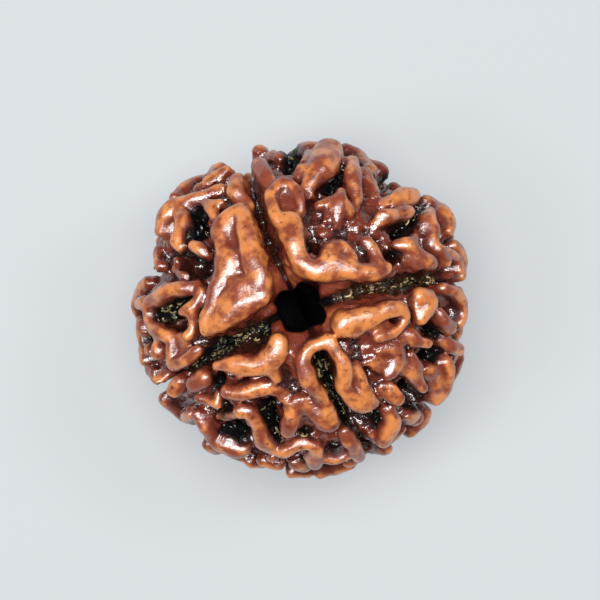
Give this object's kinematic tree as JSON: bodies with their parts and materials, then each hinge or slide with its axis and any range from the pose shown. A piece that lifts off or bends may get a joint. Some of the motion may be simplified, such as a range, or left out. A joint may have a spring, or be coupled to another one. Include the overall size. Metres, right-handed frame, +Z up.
{
  "type": "rudraksha seed",
  "caption": "Woody rudraksha nut with deep seams from pole to pole, a net of winding ridges and a bore along its axis, resting on small flat feet.",
  "frame": {"origin": "middle of the underside of the seed's box, on the surface it rests on", "axes": "+Z up along the bore; +X to the right and +Y to the top of the view straight down the bore"},
  "size_m": [0.0218, 0.022, 0.019],
  "materials": {
    "oiled_nut": "gloss"
  },
  "bodies": {
    "root": {"rudraksha_seed": "oiled_nut"}
  },
  "joints": []
}
